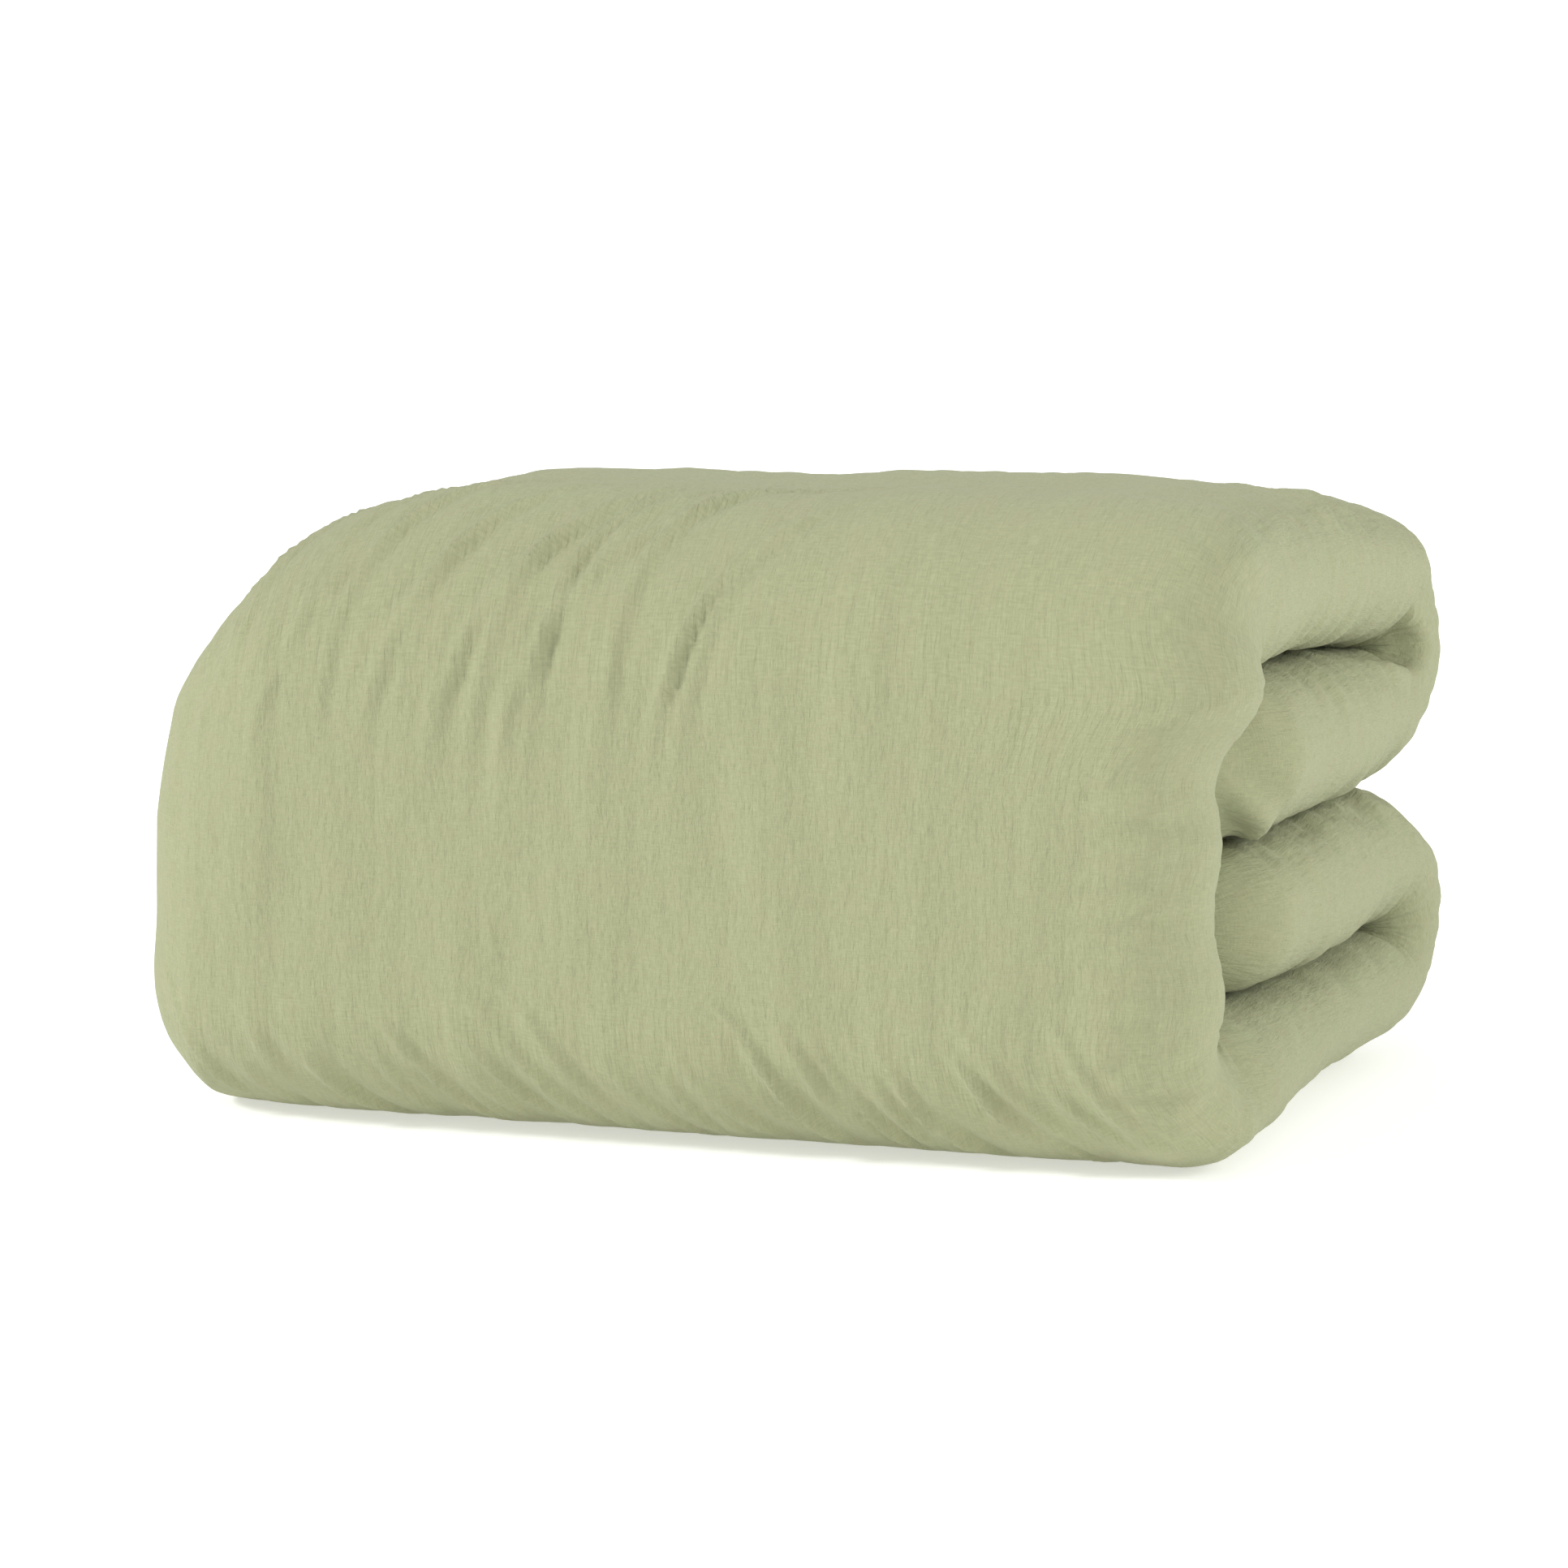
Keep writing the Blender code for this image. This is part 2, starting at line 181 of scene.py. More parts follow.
def noise(x, y, seed):
    """Smooth gradient noise, about -0.7 to 0.7."""
    x, y = np.broadcast_arrays(np.asarray(x, float), np.asarray(y, float))
    ix, iy = np.floor(x), np.floor(y)
    fx, fy = x - ix, y - iy

    def corner(dx, dy):
        angle = lattice(ix + dx, iy + dy, seed)
        return np.cos(angle) * (fx - dx) + np.sin(angle) * (fy - dy)

    ease_x = fx * fx * fx * (fx * (fx * 6 - 15) + 10)
    ease_y = fy * fy * fy * (fy * (fy * 6 - 15) + 10)
    low = corner(0, 0) * (1 - ease_x) + corner(1, 0) * ease_x
    high = corner(0, 1) * (1 - ease_x) + corner(1, 1) * ease_x
    return low * (1 - ease_y) + high * ease_y


def fold_noise(x, y, seed):
    """Soft folds: broad ridges with narrower valleys between them."""
    return 0.30 - np.sqrt(np.square(noise(x, y, seed)) + 0.0009) * 1.3


def smooth(edge0, edge1, value):
    """0 before the first edge, 1 past the second, eased between them."""
    t = np.clip((value - edge0) / (edge1 - edge0), 0, 1)
    return t * t * (3 - 2 * t)


def window(value, low, high, soft):
    """1 between low and high, 0 outside, with soft edges."""
    return smooth(low - soft, low + soft, value) * (1 - smooth(high - soft, high + soft, value))


def bump(value, centre, width):
    return np.exp(-np.square((value - centre) / width))


def crease(across, along, width, length):
    """A valley with a ridge on each side, fading out along its length."""
    t = across / width
    shape = 0.7 * np.exp(-np.square(t - 1.3)) - np.exp(-np.square(t))
    shape = shape + 0.25 * np.exp(-np.square(t + 1.5))
    return shape * np.exp(-np.square(along / length))


# ---- settling ------------------------------------------------------------------------------
def level(z):
    """Height in the pressed pile of a height in the square-cut one."""
    share = np.clip((z - LAYER_GAP / 2) / (HEIGHT - LAYER_GAP), 0, 1)
    return HEIGHT * share * (1 - PRESS + PRESS * share)


MIDDLE_LEVEL = float(level(np.array(MIDDLE_Z)))


def rounding(distance, length, kept):
    """A quarter-round from the kept share at an end up to 1 at the given length."""
    rise = 1 - np.clip(distance, 0, length) / length
    return kept + (1 - kept) * np.sqrt(np.maximum(0, 1 - rise * rise))


def waves(x, y, z, seed):
    """A slow, smooth, repeatable waviness through space, from -1 to 1."""
    random = np.random.RandomState(seed)
    total = 0
    for _ in range(5):
        direction = random.normal(size=3)
        direction *= 2 * math.pi / random.uniform(0.16, 0.34) / np.linalg.norm(direction)
        phase = random.uniform(0, 2 * math.pi)
        total = total + np.sin(direction[0] * x + direction[1] * y + direction[2] * z + phase)
    return total / 5


def right_end(x):
    return smooth(0.20, 0.33, x)


def sink(x, y, z):
    """The settled height of each point, and how far it is above the middle of the pile."""
    height = level(z)
    from_left = x - LEFT_X
    over = np.clip((height - MIDDLE_LEVEL) / (HEIGHT - MIDDLE_LEVEL), 0, 1)
    under = np.clip((MIDDLE_LEVEL - height) / MIDDLE_LEVEL, 0, 1)
    droop = 1 - (1 - rounding(from_left, DROOP_LENGTH, DROOP_KEPT)) * over ** END_POWER
    rise = 1 - (1 - rounding(from_left, UNDER_ROUND, UNDER_KEPT)) * under ** END_POWER
    back = np.clip((y - REAR_DROOP_Y) / (HIGH[1] - REAR_DROOP_Y), 0, 1)
    droop = droop * (1 - REAR_DROOP * back * back)
    droop = droop * (1 - TOP_SUNK * over)
    rear_right = REAR_RIGHT_DROOP * over * smooth(0.16, 0.34, x) * smooth(-0.05, 0.22, y)
    droop = droop * (1 - rear_right)
    right = smooth(0.255, 0.36, x)
    rise = rise * (1 - REAR_RIGHT_RISE * right * under * smooth(-0.15, 0.0, y))
    share = np.where(height > MIDDLE_LEVEL, droop, rise)
    return MIDDLE_LEVEL + (height - MIDDLE_LEVEL) * share, over


def round_corners(x, y, settled, over):
    """The bundle's corners in plan."""
    from_left = x - LEFT_X
    near = np.clip(from_left, 0, CORNER_ROUND)
    pull = CORNER_ROUND - np.sqrt(np.maximum(0, CORNER_ROUND ** 2 - (CORNER_ROUND - near) ** 2))
    y = y + pull * (0.60 + 0.34 * over) * (1 - smooth(FRONT_Y, 0.05, y))
    # higher layers reach less far to the left, having further to go down
    short = 0.004 + 0.012 * smooth(0.02, 0.12, settled) + 0.006 * over
    x = x + short * (1 - smooth(0, 0.16, from_left))
    # the rear corners stand out a little
    side = smooth(0.24, 0.345, np.abs(x))
    y = y + 0.002 * side * smooth(0.10, HIGH[1], y)
    x = x + 0.003 * smooth(0.26, 0.33, x) * smooth(0.08, 0.2, y)
    return x, y


def shape_right_end(x, y, z, settled):
    """Where the ends of the layers on the right are drawn in or swell."""
    wrap = 1 - smooth(BEND_Y - 0.012, BEND_Y + 0.03, y)
    x = x - WRAP_DRAWN_IN * smooth(0.10, 0.33, x) * wrap * window(settled, 0.045, 0.235, 0.035)
    x = x + WRAP_WOBBLE * right_end(x) * wrap * np.sin(settled * 75 + 0.6)
    # the two inner layers end behind the wrap, drawn in further
    inner = window(z, LAYER * 1.02, LAYER * 2.98, 0.006)
    inner = inner * (1 - smooth(BEND_Y + 0.025, BEND_Y + 0.075, y))
    x = x - INNER_DRAWN_IN * right_end(x) * inner * smooth(BEND_Y - 0.004, BEND_Y + 0.002, y)
    # at the rear the rolls are fuller above and taper towards the notch between them
    rear = smooth(0.26, 0.33, x) * smooth(0.05, 0.20, y)
    x = (x + ROLL_FULLNESS * rear * bump(settled, 0.325, 0.030)
         - ROLL_TAPER * rear * bump(settled, 0.190, 0.035))
    x = x - ROLL_NOTCH * rear * bump(settled, 0.150, 0.018)
    return x + WRAP_CHEEK * right_end(x) * wrap * bump(settled, 0.262, 0.03)


def lay(x, y, z):
    """Where a point of the square-cut bundle lies once the pile has settled."""
    settled, over = sink(x, y, z)
    x, y = round_corners(x, y, settled, over)
    x = shape_right_end(x, y, z, settled)
    # the front swells
    across = 1 - np.square(np.clip(x / 0.36, -1, 1))
    upright = 1 - np.square(np.clip((settled - 0.17) / 0.20, -1, 1))
    y = y - FRONT_BULGE * across * upright * np.clip((BEND_Y - y) / LAYER, 0, 1)
    # and nothing is quite straight
    free = smooth(0.0, 0.10, settled)
    x = x + 0.0045 * waves(x * 0.6, y, z, 11) * smooth(0.1, 0.3, np.abs(x))
    settled = settled + 0.0040 * waves(x, y, z * 0.7, 23) * free
    y = y + 0.0035 * waves(x, y * 0.5, z, 37) * free
    return x, y, settled


# ---- the path along the folded length ------------------------------------------------------
def hinge_place(name):
    """Where a joint's axis passes."""
    return [float(v) for v in HINGES[name]["pos_m"]]


class Path:
    """Stations along the folded length: place, outward side, and distance to the nearer hem."""

    FAR = 1.0               # stands for a hem that is a long way off

    def __init__(self):
        self.rows = []
        self.marks = {}

    def straight(self, y0, y1, z, side, step, end_at=None):
        """A flat run, which may begin ("first") or end ("last") at a hem."""
        count = max(2, int(round(abs(y1 - y0) / step)))
        for k in range(count + (0 if end_at != "last" else 1)):
            y = y0 + (y1 - y0) * k / count
            hem = {"first": abs(y - y0), "last": abs(y1 - y)}.get(end_at, self.FAR)
            self.rows.append((y, z, 0.0, side, hem))

    def upright(self, y, z0, z1, step):
        """The front, with a mark at half its height."""
        count = max(2, int(round(abs(z1 - z0) / step / 2)) * 2)
        for k in range(count):
            if k == count // 2:
                self.mark("middle")
            self.rows.append((y, z0 + (z1 - z0) * k / count, -1.0, 0.0, self.FAR))

    def turn(self, centre_y, centre_z, start, end, step):
        """Part of a circle about a centre, in degrees."""
        count = max(4, int(round(abs(math.radians(end - start)) * LAYER / step)))
        for k in range(count):
            angle = math.radians(start + (end - start) * k / count)
            side_y, side_z = math.cos(angle), math.sin(angle)
            self.rows.append((centre_y + LAYER / 2 * side_y, centre_z + LAYER / 2 * side_z,
                              side_y, side_z, self.FAR))

    def mark(self, name):
        self.marks[name] = len(self.rows)


def folded_path(fine, coarse):
    """The whole folded length: head hem, upper half, front, lower half, foot closure."""
    path = Path()
    upper_y = hinge_place("upper_front_fold")[1]
    lower_y = max(hinge_place("lower_front_fold")[1], BEND_Y)
    path.straight(HEAD_Y, TURN_Y, HEAD_LAYER_Z, -1, fine * 1.5, "first")
    path.turn(TURN_Y, 3 * LAYER, -90, 90, fine * 1.6)
    path.mark("top")
    path.straight(TURN_Y, upper_y, 3.5 * LAYER, 1, fine)
    path.mark("upper")
    path.straight(upper_y, BEND_Y, 3.5 * LAYER, 1, fine)
    path.turn(BEND_Y, 3 * LAYER, 90, 180, fine)
    path.upright(BEND_Y - LAYER / 2, 3 * LAYER, LAYER, fine)
    path.turn(BEND_Y, LAYER, 180, 270, fine)
    path.mark("lower")
    path.straight(lower_y, TURN_Y, 0.5 * LAYER, -1, coarse)
    path.turn(TURN_Y, LAYER, 270, 450, fine * 1.6)
    path.mark("third")
    path.straight(TURN_Y, FOOT_Y, FOOT_LAYER_Z, 1, fine * 1.5, "last")
    return path


# ---- one cross-section ---------------------------------------------------------------------
def profile(fine, slit_step):
    """The closed section of a doubled layer: kind, x, turn angle and side for each point."""
    span = FOLD_X - LEFT_X
    rim = [LEFT_X - HEM_WIDTH * 0.9, LEFT_X - 0.001]
    hem_out = [LEFT_X - HEM_WIDTH] + rim
    outer = list(np.linspace(LEFT_X, FOLD_X, int(round(span / fine)) + 1))
    points = [("out", x, 0.0, 1) for x in hem_out + outer]
    steps = int(round(math.pi * OUTER_Q / fine))
    points += [("turn", FOLD_X, math.pi * k / steps, 1) for k in range(1, steps)]
    inner = list(np.linspace(FOLD_X, LEFT_X, int(round(span / (fine * 1.6))) + 1))
    points += [("out", x, 0.0, -1) for x in inner + hem_out[::-1]]
    shares = np.linspace(0, 1, int(round(span / slit_step)) + 1)
    slit = rim + list(LEFT_X + span * shares ** SLIT_CROWDING)
    points += [("slit", x, 0.0, -1) for x in slit]
    points += [("hairpin", FOLD_X, math.pi * k / HAIRPIN_STEPS, 1)
               for k in range(HAIRPIN_STEPS - 1, 0, -1)]
    points += [("slit", x, 0.0, 1) for x in slit[::-1]]
    return points


def section_offsets(points, hems):
    """x and outward distance of each profile point at each station, as two grids."""
    x = np.array([p[1] for p in points])[None, :] + 0 * hems[:, None]
    angle = np.array([p[2] for p in points])[None, :]
    side = np.array([p[3] for p in points])[None, :]
    kind = np.array([KINDS[p[0]] for p in points])[None, :]
    from_left = x - LEFT_X
    kept = np.minimum(rounding(from_left, EDGE_ROUND, EDGE_KEPT),
                      rounding(hems[:, None] - 0.004, EDGE_ROUND, END_KEPT))
    half = (OUTER_Q - PLY_MIDDLE) * kept
    half = np.where(from_left < -1e-5, HEM_HALF, half)
    half = np.where(x <= LEFT_X - HEM_WIDTH + 1e-6, 0.0, half)
    half = np.minimum(half, np.maximum(hems[:, None] * 1.2, 0.0) + HEM_HALF * 0.4)
    half = np.where(hems[:, None] <= 1e-9, 0.0, half)
    slit_half = np.minimum(half, PLY_MIDDLE - SLIT_Q)
    n = np.where(kind == KINDS["out"], side * (PLY_MIDDLE + half), 0.0)
    n = np.where(kind == KINDS["slit"], side * (PLY_MIDDLE - slit_half), n)
    for name, radius in (("turn", PLY_MIDDLE + half), ("hairpin", PLY_MIDDLE - slit_half)):
        n = np.where(kind == KINDS[name], radius * np.cos(angle), n)
        x = np.where(kind == KINDS[name], FOLD_X + radius * np.sin(angle), x)
    return x, n, kind


# ---- wrinkles ------------------------------------------------------------------------------
# s is the distance along the sheet, up the front from its lower edge and on over the top
def fan_creases(x, s, outer, random):
    """The pull from the upper left: creases that come over the top and bend down the front."""
    for k in range(FAN.count):
        stray = random.uniform(-FAN.stray, FAN.stray)
        foot = FAN.first + FAN.spread * (k + stray) / FAN.count
        rise = s - random.uniform(*FAN.height)
        lean = random.uniform(*FAN.lean)
        bent = (rise + np.sqrt(rise * rise + FAN.bend ** 2)) / 2
        sideways = x - foot - lean * bent + 0.004 * noise(x * 9, s * 12, 5)
        fading = 0.35 + 0.65 * float(smooth(-0.30, -0.16, np.array(foot)))
        depth = random.uniform(*FAN.depth) * fading
        width = random.uniform(*FAN.width)
        length = random.uniform(*FAN.length) * (1 + 0.6 * smooth(0.03, -0.03, rise))
        yield depth * crease(sideways, rise, width, length) * outer


def foot_creases(x, s, outer, random):
    """Slack strokes along the bottom of the front."""
    for k in range(FOOT.count):
        stray = random.uniform(-FOOT.stray, FOOT.stray)
        start = FOOT.first + FOOT.spread * (k + stray) / FOOT.count
        height = random.uniform(*FOOT.height)
        slant = random.uniform(*FOOT.lean)
        length = random.uniform(*FOOT.length)
        fading = 0.5 + 0.5 * float(smooth(-0.25, 0.05, np.array(start)))
        depth = random.uniform(*FOOT.depth) * fading
        width = random.uniform(*FOOT.width)
        rise = s - height
        sideways = x - start + slant * rise + FOOT.curl * rise * rise
        yield depth * crease(sideways, rise, width, length) * outer


def crinkles(x, s, outer, skin):
    """Faint upright crinkle, slow unevenness, and flutes up the front."""
    for depth, wide, long, seed, where in (
            (0.0014, 0.017, 0.10, 31, outer), (0.0009, 0.009, 0.045, 32, outer),
            (0.0035, 0.11, 0.13, 33, skin), (0.0018, 0.045, 0.06, 34, skin)):
        yield depth * noise(x / wide, s / long, seed) * where
    yield 0.0036 * noise(x / 0.034, s / 0.20, 35) * outer * (1 - smooth(0.24, 0.31, s) * 0.7)


def right_folds(grid, s):
    """Two deep tucks in the upper roll, and short folds that run out of the creases."""
    x, y, n, around = grid.x, grid.y, grid.n, grid.around
    turning = grid.kind == KINDS["turn"]
    angle = grid.angle * turning
    upper_roll = turning * grid.upper_roll
    tuck = angle - (1.75 - 19.0 * (y + 0.158))
    yield 0.0075 * crease(-tuck, y + 0.118, 0.22, 0.045) * upper_roll
    rear = angle - (2.30 - 6.0 * (y - 0.150))
    yield 0.0050 * crease(rear, y - 0.170, 0.20, 0.050) * upper_roll
    wander = s + 0.006 * noise(around * 25, s * 12, 41)
    folds = fold_noise(wander / 0.019, around / 0.07, 42)
    folds = folds + 0.6 * fold_noise(wander / 0.010, around / 0.045, 43)
    near_crease = 0.30 + 0.70 * smooth(0.1, 0.9, np.abs(n) / OUTER_Q)
    yield 0.0050 * folds * (smooth(0.25, 0.315, x) * grid.skin) * near_crease


def wrinkles(grid):
    """How far each point of the skin is raised along its normal."""
    x, s = grid.x, grid.s
    outer = smooth(0.0, 0.5, grid.n / OUTER_Q) * grid.skin
    random = np.random.RandomState(CREASE_SEED)
    total = 0 * x
    for family in (fan_creases(x, s, outer, random), foot_creases(x, s, outer, random),
                   crinkles(x, s, outer, grid.skin), right_folds(grid, s)):
        for raised in family:
            total = total + raised
    # calm at the hems, and where the inner ply is pinched round the front and the rear turns
    tight = np.maximum(window(s, -0.015, 0.37, 0.012),
                       smooth(TURN_Y - 0.030, TURN_Y - 0.005, grid.y))
    pinched = smooth(0.0, 0.3, -grid.n / OUTER_Q) * tight * (1 - smooth(0.25, 0.30, x))
    hems = smooth(0.002, 0.055, x - LEFT_X)
    return total * hems * smooth(0.002, 0.05, grid.hem) * (1 - pinched)


# ---- meshes --------------------------------------------------------------------------------
def grid_normals(places):
    """Normals of a grid whose columns close on themselves."""
    along = np.gradient(places, axis=0)
    around = np.roll(places, -1, axis=1) - np.roll(places, 1, axis=1)
    normal = np.cross(around, along)
    return normal / np.maximum(np.linalg.norm(normal, axis=2, keepdims=True), 1e-9)


def ring_faces(numbers):
    """Quads between neighbouring rows of point numbers, each row closing on itself."""
    after = np.roll(numbers, -1, axis=1)
    quads = np.stack([numbers[:-1], after[:-1], after[1:], numbers[1:]], axis=2).reshape(-1, 4)
    return [tuple(int(v) for v in quad) for quad in quads]


def build_cover():
    """The whole skin as one grid: a row for each station, a column for each profile point."""
    path = folded_path(FINE, COARSE)
    points = profile(FINE, SLIT_STEP)
    rows = np.array(path.rows)
    hems = rows[:, 4]
    x, n, kind = section_offsets(points, hems)
    y = rows[:, 0:1] + n * rows[:, 2:3]
    z = rows[:, 1:2] + n * rows[:, 3:4]
    along = np.concatenate([[0], np.cumsum(np.hypot(*np.diff(rows[:, :2], axis=0).T))])
    step = np.hypot(np.diff(x, axis=1), np.diff(n, axis=1)).mean(axis=0)
    around = np.concatenate([[0], np.cumsum(step)])
    places = np.stack(lay(x, y, z), axis=2)
    full = 0 * x
    grid = SimpleNamespace(
        x=x, y=y, n=n, kind=kind + full, skin=(kind < KINDS["slit"]) * 1.0 + full,
        s=along[path.marks["lower"]] - along[:, None] + full,
        hem=hems[:, None] + full, around=around[None, :] + full,
        angle=np.array([point[2] for point in points])[None, :] + full,
        upper_roll=(np.arange(len(rows)) < path.marks["top"])[:, None])
    normals = grid_normals(places)
    raised = wrinkles(grid)
    floor_free = smooth(0.0, 0.012, places[:, :, 2] + raised * normals[:, :, 2])
    places = places + normals * (raised * (0.15 + 0.85 * floor_free))[:, :, None]
    places[:, :, 2] = np.maximum(places[:, :, 2], 0.0004)
    return SimpleNamespace(
        points=points, marks=dict(path.marks, first=0, last=len(rows) - 1), places=places,
        normals=grid_normals(places), around=around, along=along)


def zipper(first, second, places):
    """Triangles between two open rows of point numbers, always taking the shorter next edge."""
    faces = []
    i = j = 0
    while i < len(first) - 1 or j < len(second) - 1:
        ahead = behind = math.inf
        if i < len(first) - 1:
            ahead = np.linalg.norm(places[first[i + 1]] - places[second[j]])
        if j < len(second) - 1:
            behind = np.linalg.norm(places[first[i]] - places[second[j + 1]])
        if ahead <= behind:
            faces.append((first[i], first[i + 1], second[j]))
            i += 1
        else:
            faces.append((first[i], second[j + 1], second[j]))
            j += 1
    return faces


def link_object(name, data):
    made = bpy.data.objects.new(name, data)
    bpy.context.scene.collection.objects.link(made)
    return made


def skin_piece(name, start_mark, end_mark, whole, material):
    """The stretch of the skin between two marked stations, closed at both ends."""
    start, end = whole.marks[start_mark], whole.marks[end_mark]
    block = whole.places[start:end + 1]
    count = block.shape[1]
    flat = block.reshape(-1, 3)
    numbers = np.arange(len(flat)).reshape(-1, count)
    faces = ring_faces(numbers)
    sides = len(faces)
    outer = sum(KINDS[point[0]] < KINDS["slit"] for point in whole.points)
    for row, turned in ((numbers[0], False), (numbers[-1], True)):
        row = [int(v) for v in row]
        slit_row = [row[0]] + row[:outer - 1:-1] + [row[outer - 1]]
        for face in zipper(row[:outer], slit_row, flat):
            if len(set(face)) == 3:
                faces.append(face if turned else face[::-1])
    mesh = bpy.data.meshes.new(name)
    mesh.from_pydata(flat.tolist(), [], faces)
    made = link_object(name, mesh)
    mesh.materials.append(material)

    # metres of cloth as texture coordinates; the last column meets the first one again
    cloth = mesh.uv_layers.new(name="Cloth")
    vertex = np.zeros(len(mesh.loops), np.int64)
    mesh.loops.foreach_get("vertex_index", vertex)
    column = vertex % count
    wraps = np.append(whole.around, whole.around[-1] + 0.01)
    face_of_loop = np.repeat(np.arange(len(mesh.polygons)), [p.loop_total for p in mesh.polygons])
    last = np.zeros(len(mesh.polygons), bool)
    np.logical_or.at(last, face_of_loop, column == count - 1)
    place = np.where(last[face_of_loop] & (column == 0), wraps[count], wraps[column])
    coords = np.stack([place, whole.along[vertex // count + start]], axis=1)
    cloth.data.foreach_set("uv", coords.astype(np.float32).ravel())

    # smooth sides and flat caps
    mesh.polygons.foreach_set("use_smooth", np.arange(len(mesh.polygons)) < sides)
    loop_normals = whole.normals[start:end + 1].reshape(-1, 3)[vertex].copy()
    loop_normals[face_of_loop >= sides] = 0
    mesh.update()
    mesh.normals_split_custom_set(loop_normals.tolist())
    return made


def mesh_piece(name, points, faces, material):
    mesh = bpy.data.meshes.new(name)
    mesh.from_pydata([tuple(map(float, point)) for point in points], [], faces)
    solid = bmesh.new()
    solid.from_mesh(mesh)
    bmesh.ops.recalc_face_normals(solid, faces=solid.faces)
    solid.to_mesh(mesh)
    solid.free()
    mesh.materials.append(material)
    mesh.shade_smooth()
    mesh.set_sharp_from_angle(angle=math.radians(50))
    return link_object(name, mesh)


def ring_piece(name, rings, material):
    """A solid through a row of closed rings of points, closed by strips at both ends."""
    rows, count = rings.shape[:2]
    numbers = np.arange(rows * count).reshape(rows, count)
    faces = ring_faces(numbers)
    for row, turned in ((numbers[0], True), (numbers[-1], False)):
        for k in range(count // 2 - 1):
            face = [int(row[place]) for place in (k, k + 1, count - 2 - k, count - 1 - k)]
            faces.append(tuple(face[::-1] if turned else face))
    return mesh_piece(name, rings.reshape(-1, 3), faces, material)


# ---- hems, closure and small pieces --------------------------------------------------------
def placed(x, y, n, layer_z, side):
    """Settled places of points at x and y, n outwards from a flat layer."""
    return np.stack(lay(x, y + 0 * x, layer_z + side * n), axis=-1)


def fold_ring(low_q, high_q, step):
    """A closed section between two fold lines of the doubled layer, as x and outward distance."""
    left = LEFT_X - HEM_WIDTH * 0.5
    xs = np.linspace(left, FOLD_X, int(round((FOLD_X - left) / step)) + 1)
    angles = np.linspace(0, math.pi, ROUND_STEPS + 1)[1:-1]

    def line(q):
        x = np.concatenate([xs, FOLD_X + q * np.sin(angles), xs[::-1]])
        n = np.concatenate([0 * xs + q, q * np.cos(angles), 0 * xs - q])
        return x, n

    out_x, out_n = line(high_q)
    back_x, back_n = line(low_q)
    return np.concatenate([out_x, back_x[::-1]]), np.concatenate([out_n, back_n[::-1]])


def fold_band(name, y_near, y_far, q_low, q_high, layer_z, side, material, rows=7):
    """A flat sewn strip across the whole width, round the right fold, thinner at its rims."""
    rings = []
    middle = (q_low + q_high) / 2
    for k in range(rows):
        t = k / (rows - 1)
        full = math.sqrt(max(0.0, 1 - (2 * t - 1) ** 8)) * 0.8 + 0.2
        x, n = fold_ring(middle - (middle - q_low) * full, middle + (q_high - middle) * full, 0.008)
        y = y_near + (y_far - y_near) * t
        n = n + 0.0007 * noise(x / 0.035, t * 2, 61) * np.sign(n + 1e-9)
        rings.append(placed(x, y, n, layer_z, side))
    return ring_piece(name, np.array(rings), material)


def stitches(name, y, q, layer_z, side, body, material):
    """One row of short sewn stitches across both plies, standing just proud of the cloth."""
    pitch, length, half_width, proud = 0.0042, 0.62, 0.00035, 0.00045
    points, faces = [], []
    for ply in (1, -1):
        for k in range(int((FOLD_X - LEFT_X) / pitch)):
            x0 = LEFT_X + (k + 0.2) * pitch
            ends = placed(np.array([x0, x0 + pitch * length]), y, np.array([q, q]) * ply,
                          layer_z, side)
            middle = (ends[0] + ends[1]) / 2
            start = len(points)
            points.append(ends[0])
            for dy, dz in ((half_width, 0), (0, proud), (-half_width, 0), (0, -proud)):
                points.append(middle + np.array([0, dy, dz]))
            points.append(ends[1])
            for j in range(4):
                here, there = start + 1 + j, start + 1 + (j + 1) % 4
                faces.append((start, here, there))
                faces.append((start + 5, there, here))
    piece = mesh_piece(name, points, faces, material)
    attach(piece, body)


